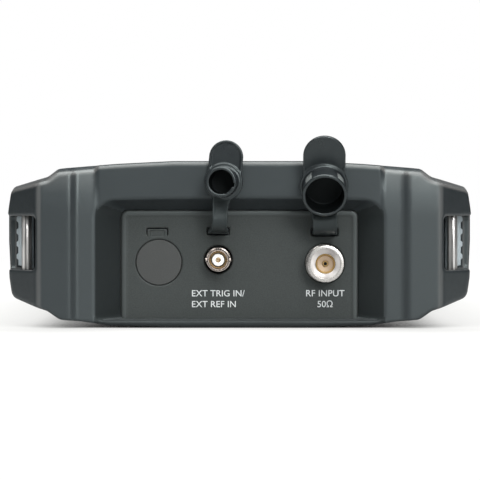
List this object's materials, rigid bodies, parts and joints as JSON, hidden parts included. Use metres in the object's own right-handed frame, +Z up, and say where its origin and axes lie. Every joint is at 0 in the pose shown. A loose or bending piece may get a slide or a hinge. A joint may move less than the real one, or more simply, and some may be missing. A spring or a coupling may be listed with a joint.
{
  "type": "handheld spectrum analyzer",
  "caption": "Portrait handheld spectrum analyzer lying on its back, rubber boots on both ends, recessed connector end with two capped coaxial sockets.",
  "frame": {"origin": "centre of the flat rest pad on the back, in the plane the instrument lies on", "axes": "+Z up out of the screen, -Y towards the connector end, +X to the right when looking at the connector end; shown lying on its back"},
  "size_m": [0.196, 0.3052, 0.0806],
  "materials": {
    "shell_plastic": "fine textured dark grey moulded plastic",
    "boot_rubber": "matte dark grey overmoulded rubber with a soft sheen",
    "panel_plastic": "spark-eroded dark grey plastic",
    "disc_plastic": "smooth matte warm grey plastic",
    "cap_rubber": "semi-gloss near-black rubber",
    "nickel_plate": "bright nickel plate",
    "gold_plate": "gold plated",
    "ptfe": "white dielectric",
    "polished_steel": "polished stainless steel",
    "zinc_steel": "zinc plated steel",
    "lens_glass": "black-edged glossy cover window",
    "module_metal": "pressed tin-plate back frame",
    "port_metal": "plated connector shells in one block",
    "membrane_rubber": "silicone rubber mat",
    "circuit_board": "green solder mask",
    "shield_metal": "milled screening can",
    "fan_plastic": "black fan plastic",
    "battery_case": "black battery case",
    "knob_plastic": "soft-touch black plastic",
    "function_key_rubber": "blue-grey silicone key",
    "key_rubber": "grey silicone key"
  },
  "bodies": {
    "instrument": {"rear_shell": "shell_plastic", "front_shell": "shell_plastic", "top_boot": "boot_rubber", "bottom_boot": "boot_rubber", "connector_panel": "panel_plastic", "n_connector_body": "nickel_plate", "n_connector_insulator": "gold_plate", "n_connector_contact": "gold_plate", "bnc_connector_body": "nickel_plate", "bnc_connector_insulator": "ptfe", "bnc_connector_contact": "gold_plate", "port_blanking_disc": "disc_plastic", "tether_blanking_plug": "panel_plastic", "rf_cap_tether": "cap_rubber", "bnc_cap_tether": "cap_rubber", "strap_bar_top_right": "polished_steel", "strap_bar_top_left": "polished_steel", "strap_bar_bottom_right": "polished_steel", "strap_bar_bottom_left": "polished_steel", "case_screw_1": "zinc_steel", "case_screw_2": "zinc_steel", "case_screw_3": "zinc_steel", "case_screw_4": "zinc_steel", "display_lens": "lens_glass", "lcd_module": "module_metal", "keypad_membrane": "membrane_rubber", "main_board": "circuit_board", "rf_module": "shield_metal", "rotary_encoder": "zinc_steel", "fan_frame": "fan_plastic", "exhaust_grille": "panel_plastic", "intake_grille": "panel_plastic", "port_block": "port_metal"},
    "rf_cap": {"rf_cap": "cap_rubber"},
    "bnc_cap": {"bnc_cap": "cap_rubber"},
    "kickstand": {"kickstand": "shell_plastic"},
    "port_door": {"port_door": "boot_rubber"},
    "battery_door": {"battery_door": "shell_plastic"},
    "battery_pack": {"battery_pack": "battery_case"},
    "battery_door_screw": {"battery_door_screw": "zinc_steel"},
    "fan_rotor": {"fan_rotor": "fan_plastic"},
    "control_knob": {"control_knob": "knob_plastic"},
    "function_key_1": {"function_key_1": "function_key_rubber"},
    "function_key_2": {"function_key_2": "function_key_rubber"},
    "function_key_3": {"function_key_3": "function_key_rubber"},
    "function_key_4": {"function_key_4": "function_key_rubber"},
    "function_key_5": {"function_key_5": "function_key_rubber"},
    "number_key_1": {"number_key_1": "key_rubber"},
    "number_key_2": {"number_key_2": "key_rubber"},
    "number_key_3": {"number_key_3": "key_rubber"},
    "number_key_4": {"number_key_4": "key_rubber"},
    "number_key_5": {"number_key_5": "key_rubber"},
    "number_key_6": {"number_key_6": "key_rubber"},
    "number_key_7": {"number_key_7": "key_rubber"},
    "number_key_8": {"number_key_8": "key_rubber"},
    "number_key_9": {"number_key_9": "key_rubber"},
    "number_key_point": {"number_key_point": "key_rubber"},
    "number_key_0": {"number_key_0": "key_rubber"},
    "number_key_sign": {"number_key_sign": "key_rubber"},
    "power_key": {"power_key": "key_rubber"}
  },
  "joints": [
    {"name": "rf_cap_fold", "type": "hinge", "parent": "instrument", "child": "rf_cap", "pos_m": [0.03578, -0.14664, 0.04255], "axis": [0.9996, -0.0055, 0.027], "range_deg": [0, 157]},
    {"name": "bnc_cap_fold", "type": "hinge", "parent": "instrument", "child": "bnc_cap", "pos_m": [-0.00785, -0.1489, 0.04479], "axis": [0.9969, -0.0531, -0.0587], "range_deg": [0, 179.6]},
    {"name": "kickstand_fold", "type": "hinge", "parent": "instrument", "child": "kickstand", "pos_m": [0, -0.096, 0.0034], "axis": [-1, 0, 0], "range_deg": [0, 75]},
    {"name": "port_door_fold", "type": "hinge", "parent": "instrument", "child": "port_door", "pos_m": [-0.0931, 0.024, 0.01525], "axis": [0, -1, 0], "range_deg": [0, 115]},
    {"name": "battery_door_lift", "type": "slide", "parent": "instrument", "child": "battery_door", "axis": [0, 0, -1], "range_m": [0, 0.06]},
    {"name": "battery_pack_withdraw", "type": "slide", "parent": "instrument", "child": "battery_pack", "axis": [0, 0, -1], "range_m": [0, 0.03]},
    {"name": "battery_door_screw_turn", "type": "hinge", "parent": "battery_door", "child": "battery_door_screw", "pos_m": [0, 0.1062, 0.0019], "axis": [0, 0, 1], "continuous": true},
    {"name": "fan_spin", "type": "hinge", "parent": "instrument", "child": "fan_rotor", "pos_m": [0.085, 0, 0.0314], "axis": [1, 0, 0], "continuous": true},
    {"name": "control_knob_turn", "type": "hinge", "parent": "instrument", "child": "control_knob", "pos_m": [-0.043, 0.062, 0.0674], "axis": [0, 0, 1], "continuous": true},
    {"name": "function_key_1_press", "type": "slide", "parent": "instrument", "child": "function_key_1", "axis": [0, 0, -1], "range_m": [0, 0.0011], "stiffness_N_per_m": 1200},
    {"name": "function_key_2_press", "type": "slide", "parent": "instrument", "child": "function_key_2", "axis": [0, 0, -1], "range_m": [0, 0.0011], "stiffness_N_per_m": 1200},
    {"name": "function_key_3_press", "type": "slide", "parent": "instrument", "child": "function_key_3", "axis": [0, 0, -1], "range_m": [0, 0.0011], "stiffness_N_per_m": 1200},
    {"name": "function_key_4_press", "type": "slide", "parent": "instrument", "child": "function_key_4", "axis": [0, 0, -1], "range_m": [0, 0.0011], "stiffness_N_per_m": 1200},
    {"name": "function_key_5_press", "type": "slide", "parent": "instrument", "child": "function_key_5", "axis": [0, 0, -1], "range_m": [0, 0.0011], "stiffness_N_per_m": 1200},
    {"name": "number_key_1_press", "type": "slide", "parent": "instrument", "child": "number_key_1", "axis": [0, 0, -1], "range_m": [0, 0.0011], "stiffness_N_per_m": 1200},
    {"name": "number_key_2_press", "type": "slide", "parent": "instrument", "child": "number_key_2", "axis": [0, 0, -1], "range_m": [0, 0.0011], "stiffness_N_per_m": 1200},
    {"name": "number_key_3_press", "type": "slide", "parent": "instrument", "child": "number_key_3", "axis": [0, 0, -1], "range_m": [0, 0.0011], "stiffness_N_per_m": 1200},
    {"name": "number_key_4_press", "type": "slide", "parent": "instrument", "child": "number_key_4", "axis": [0, 0, -1], "range_m": [0, 0.0011], "stiffness_N_per_m": 1200},
    {"name": "number_key_5_press", "type": "slide", "parent": "instrument", "child": "number_key_5", "axis": [0, 0, -1], "range_m": [0, 0.0011], "stiffness_N_per_m": 1200},
    {"name": "number_key_6_press", "type": "slide", "parent": "instrument", "child": "number_key_6", "axis": [0, 0, -1], "range_m": [0, 0.0011], "stiffness_N_per_m": 1200},
    {"name": "number_key_7_press", "type": "slide", "parent": "instrument", "child": "number_key_7", "axis": [0, 0, -1], "range_m": [0, 0.0011], "stiffness_N_per_m": 1200},
    {"name": "number_key_8_press", "type": "slide", "parent": "instrument", "child": "number_key_8", "axis": [0, 0, -1], "range_m": [0, 0.0011], "stiffness_N_per_m": 1200},
    {"name": "number_key_9_press", "type": "slide", "parent": "instrument", "child": "number_key_9", "axis": [0, 0, -1], "range_m": [0, 0.0011], "stiffness_N_per_m": 1200},
    {"name": "number_key_point_press", "type": "slide", "parent": "instrument", "child": "number_key_point", "axis": [0, 0, -1], "range_m": [0, 0.0011], "stiffness_N_per_m": 1200},
    {"name": "number_key_0_press", "type": "slide", "parent": "instrument", "child": "number_key_0", "axis": [0, 0, -1], "range_m": [0, 0.0011], "stiffness_N_per_m": 1200},
    {"name": "number_key_sign_press", "type": "slide", "parent": "instrument", "child": "number_key_sign", "axis": [0, 0, -1], "range_m": [0, 0.0011], "stiffness_N_per_m": 1200},
    {"name": "power_key_press", "type": "slide", "parent": "instrument", "child": "power_key", "axis": [0, 0, -1], "range_m": [0, 0.0011], "stiffness_N_per_m": 1200}
  ],
  "couplings": [
    {"joint": "battery_pack_withdraw", "follows": "battery_door_lift", "ratio": 0.5}
  ]
}
